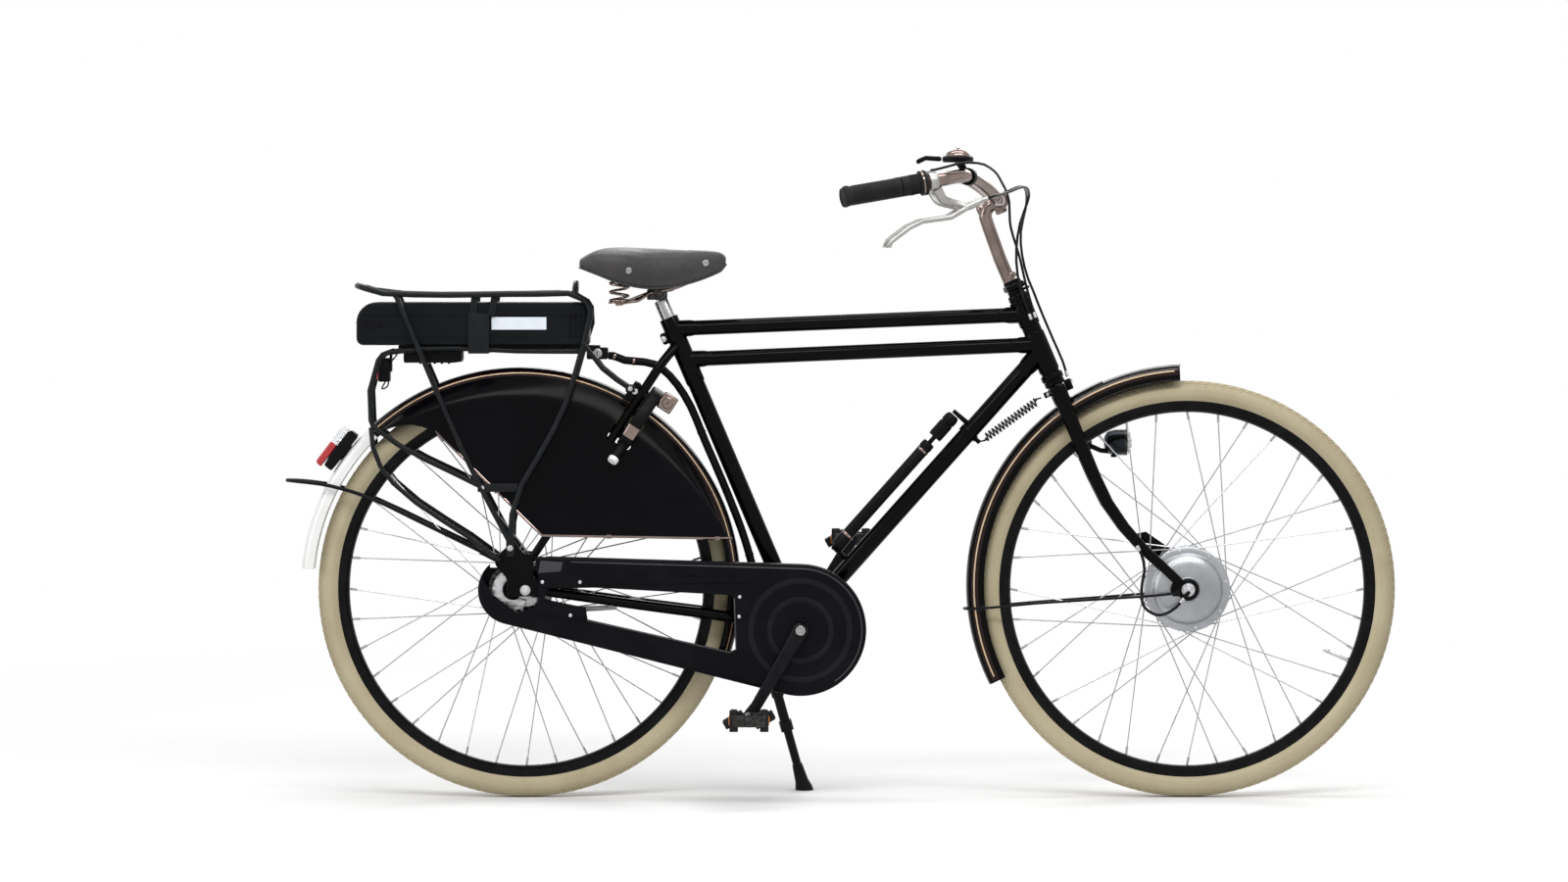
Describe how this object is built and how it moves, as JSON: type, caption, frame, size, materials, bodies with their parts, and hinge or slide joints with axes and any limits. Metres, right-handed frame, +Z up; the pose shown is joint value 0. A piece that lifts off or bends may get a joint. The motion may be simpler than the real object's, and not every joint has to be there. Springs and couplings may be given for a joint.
{
  "type": "electric bicycle",
  "caption": "City bicycle with a front hub motor, rack battery, full chaincase, mudguards, ring lock and sprung saddle, leaning on its side stand.",
  "frame": {"origin": "On the ground, under the middle of the bicycle's bounding box as it leans on its side stand.", "axes": "+X forward along the wheels' plane, +Y to the rider's left, +Z up from the ground; the bicycle leans 4 degrees to +Y."},
  "size_m": [1.871, 0.628, 1.1007],
  "materials": {
    "black_paint": "gloss",
    "satin_black": "satin",
    "black_plastic": "satin",
    "case_plastic": "satin",
    "navy_plastic": "satin",
    "rubber": "matte",
    "cream_tyre": "matte",
    "silver": "polished",
    "black_rim": "gloss",
    "chrome": "polished",
    "steel": "satin",
    "saddle_skin": "satin",
    "clear_lens": "clear",
    "red_lens": "clear"
  },
  "bodies": {
    "frame": {"frame": "black_paint", "rear_axle": "steel", "rear_mudguard": "black_paint", "mudguard_loop": "black_paint", "rear_light": "black_plastic", "rear_light_lens": "red_lens", "skirt_guard_left": "black_plastic", "skirt_guard_right": "black_plastic", "rack": "satin_black", "battery_dock": "black_plastic", "ring_lock_body": "satin_black", "chaincase": "case_plastic", "chaincase_cover": "black_plastic", "chain": "steel", "stand_bracket": "satin_black", "pump_barrel": "black_plastic", "conduit_hose": "rubber", "steering_spring": "steel"},
    "steering": {"fork": "black_paint", "stem": "chrome", "handlebar": "chrome", "grip_left": "rubber", "grip_right": "rubber", "brake_bracket_left": "silver", "brake_bracket_right": "silver", "bell": "chrome", "front_mudguard": "black_paint", "front_mudguard_stay": "black_paint", "headlamp": "black_plastic", "headlamp_lens": "clear_lens", "motor_axle": "steel", "motor_cable": "rubber", "front_brake_cable": "rubber", "rear_brake_cable": "rubber", "shift_cable": "rubber"},
    "front_wheel": {"front_hub": "silver", "front_rim": "black_rim", "front_tyre": "cream_tyre"},
    "rear_wheel": {"rear_hub": "silver", "rear_rim": "black_rim", "rear_tyre": "cream_tyre"},
    "crank": {"chainring": "steel", "crank_right": "satin_black", "crank_left": "satin_black"},
    "sprocket": {"rear_sprocket": "steel"},
    "pedal_right": {"pedal_right": "rubber"},
    "pedal_left": {"pedal_left": "rubber"},
    "stand": {"stand_leg": "satin_black"},
    "brake_lever_right": {"brake_lever_right": "silver"},
    "brake_lever_left": {"brake_lever_left": "silver"},
    "bell_lever": {"bell_lever": "black_plastic"},
    "twist_shifter": {"twist_shifter": "rubber"},
    "lock_bolt": {"ring_lock_bolt": "silver"},
    "battery": {"battery": "navy_plastic"},
    "saddle_post": {"seat_post": "silver", "saddle_frame": "steel", "saddle_spring_left": "steel", "saddle_spring_right": "steel"},
    "saddle": {"saddle_cover": "saddle_skin"},
    "pump_handle": {"pump_handle": "black_plastic"}
  },
  "joints": [
    {"name": "steering", "type": "hinge", "parent": "frame", "child": "steering", "pos_m": [0.3574, -0.02136, 0.70522], "axis": [-0.3907, 0.0642, 0.9183], "range_deg": [-50, 50], "stiffness_Nm_per_rad": 15, "deforming": ["steering_spring", "rear_brake_cable", "shift_cable"]},
    {"name": "front_wheel_spin", "type": "hinge", "parent": "steering", "child": "front_wheel", "pos_m": [0.58453, -0.04619, 0.35014], "axis": [0, 0.9976, -0.0698], "continuous": true},
    {"name": "rear_wheel_spin", "type": "hinge", "parent": "frame", "child": "rear_wheel", "pos_m": [-0.52947, -0.04619, 0.35014], "axis": [0, 0.9976, -0.0698], "continuous": true},
    {"name": "crank_spin", "type": "hinge", "parent": "frame", "child": "crank", "pos_m": [-0.06747, -0.05087, 0.28331], "axis": [0, 0.9976, -0.0698], "continuous": true, "deforming": ["chain"]},
    {"name": "sprocket_spin", "type": "hinge", "parent": "frame", "child": "sprocket", "pos_m": [-0.52947, -0.04619, 0.35014], "axis": [0, 0.9976, -0.0698], "continuous": true},
    {"name": "pedal_right_spin", "type": "hinge", "parent": "crank", "child": "pedal_right", "pos_m": [-0.15349, -0.06109, 0.13704], "axis": [0, 0.9976, -0.0698], "continuous": true},
    {"name": "pedal_left_spin", "type": "hinge", "parent": "crank", "child": "pedal_left", "pos_m": [0.01856, -0.04064, 0.42958], "axis": [0, 0.9976, -0.0698], "continuous": true},
    {"name": "stand_fold", "type": "hinge", "parent": "frame", "child": "stand", "pos_m": [-0.13247, -0.00637, 0.26015], "axis": [0, 0.9968, 0.0802], "range_deg": [0, 100]},
    {"name": "brake_lever_right", "type": "hinge", "parent": "steering", "child": "brake_lever_right", "pos_m": [0.20624, -0.24687, 1.0069], "axis": [-0.2306, 0.9589, -0.1652], "range_deg": [0, 18], "stiffness_Nm_per_rad": 1, "springref_deg": -5.73},
    {"name": "brake_lever_left", "type": "hinge", "parent": "steering", "child": "brake_lever_left", "pos_m": [0.20624, 0.24393, 0.97258], "axis": [0.2306, 0.9726, 0.0301], "range_deg": [0, 18], "stiffness_Nm_per_rad": 1, "springref_deg": -5.73},
    {"name": "bell_lever", "type": "hinge", "parent": "steering", "child": "bell_lever", "pos_m": [0.16139, -0.18035, 1.08374], "axis": [0, 0.0698, 0.9976], "range_deg": [0, 30], "stiffness_Nm_per_rad": 0.1, "springref_deg": -11.46},
    {"name": "twist_shifter", "type": "hinge", "parent": "steering", "child": "twist_shifter", "pos_m": [0.09849, -0.2738, 1.04381], "axis": [0.9525, 0.2668, 0.1469], "range_deg": [-80, 40]},
    {"name": "ring_lock_bolt", "type": "hinge", "parent": "frame", "child": "lock_bolt", "pos_m": [-0.34324, -0.02677, 0.62797], "axis": [-0.8387, 0.038, 0.5433], "range_deg": [0, 112], "stiffness_Nm_per_rad": 0.2, "springref_deg": -28.65},
    {"name": "battery_slide", "type": "slide", "parent": "frame", "child": "battery", "axis": [-1, 0, 0], "range_m": [0, 0.36]},
    {"name": "saddle_height", "type": "slide", "parent": "frame", "child": "saddle_post", "axis": [-0.3907, 0.0642, 0.9183], "range_m": [-0.025, 0.08]},
    {"name": "saddle_flex", "type": "hinge", "parent": "saddle_post", "child": "saddle", "pos_m": [-0.21749, -0.00894, 0.88289], "axis": [0, -0.9976, 0.0698], "range_deg": [0, 4], "stiffness_Nm_per_rad": 700, "deforming": ["saddle_spring_left", "saddle_spring_right"]},
    {"name": "pump_handle", "type": "slide", "parent": "frame", "child": "pump_handle", "axis": [-0.6654, -0.0521, -0.7446], "range_m": [0, 0.01], "stiffness_N_per_m": 500, "springref_m": -0.02}
  ],
  "couplings": [
    {"joint": "sprocket_spin", "follows": "crank_spin", "ratio": 2}
  ]
}
